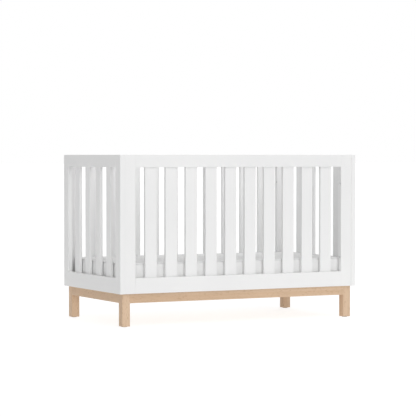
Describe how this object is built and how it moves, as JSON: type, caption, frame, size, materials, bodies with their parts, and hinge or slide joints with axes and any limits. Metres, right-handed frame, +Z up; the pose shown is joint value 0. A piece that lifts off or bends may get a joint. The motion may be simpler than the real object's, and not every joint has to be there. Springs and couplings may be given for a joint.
{
  "type": "baby crib",
  "caption": "White painted slatted crib on a natural wood leg base, with a slatted mattress base that moves to higher settings and a mattress that lifts out.",
  "frame": {"origin": "on the floor, under the middle of the crib", "axes": "+Z up, +X along the crib to the right of someone facing its front, front faces -Y"},
  "size_m": [1.45, 0.76, 0.911],
  "materials": {
    "white_paint": "satin white paint on wood",
    "natural_beech": "clear matt lacquer on beech",
    "zinc_steel": "zinc plated",
    "dowel_beech": "raw turned beech",
    "deck_pine": "planed raw pine",
    "glide_plastic": "moulded",
    "mattress_ticking": "quilted cotton ticking"
  },
  "bodies": {
    "crib": {"front_top_rail": "white_paint", "front_bottom_rail": "white_paint", "front_left_stile": "white_paint", "front_right_stile": "white_paint", "front_slats": "white_paint", "back_top_rail": "white_paint", "back_bottom_rail": "white_paint", "back_left_stile": "white_paint", "back_right_stile": "white_paint", "back_slats": "white_paint", "left_end_top_rail": "white_paint", "left_end_bottom_rail": "white_paint", "left_end_front_stile": "white_paint", "left_end_back_stile": "white_paint", "left_end_slats": "white_paint", "right_end_top_rail": "white_paint", "right_end_bottom_rail": "white_paint", "right_end_front_stile": "white_paint", "right_end_back_stile": "white_paint", "right_end_slats": "white_paint", "front_left_leg": "natural_beech", "front_right_leg": "natural_beech", "back_left_leg": "natural_beech", "back_right_leg": "natural_beech", "front_apron": "natural_beech", "back_apron": "natural_beech", "left_apron": "natural_beech", "right_apron": "natural_beech", "corner_plates": "zinc_steel", "corner_plate_screws": "zinc_steel", "hanger_bolts": "zinc_steel", "hanger_nuts": "zinc_steel", "foot_glides": "glide_plastic", "leg_dowels": "dowel_beech", "body_screws": "zinc_steel", "frame_dowels": "dowel_beech", "panel_bolts": "zinc_steel", "panel_inserts": "zinc_steel", "level_brackets": "zinc_steel", "level_bolts": "zinc_steel", "level_inserts": "zinc_steel"},
    "mattress_base": {"deck_front_rail": "deck_pine", "deck_back_rail": "deck_pine", "deck_left_rail": "deck_pine", "deck_right_rail": "deck_pine", "deck_slats": "deck_pine", "deck_screws": "zinc_steel"},
    "mattress": {"mattress": "mattress_ticking"}
  },
  "joints": [
    {"name": "deck_height", "type": "slide", "parent": "crib", "child": "mattress_base", "axis": [0, 0, 1], "range_m": [0, 0.26]},
    {"name": "mattress_lift", "type": "slide", "parent": "mattress_base", "child": "mattress", "axis": [0, 0, 1], "range_m": [0, 0.7]}
  ]
}
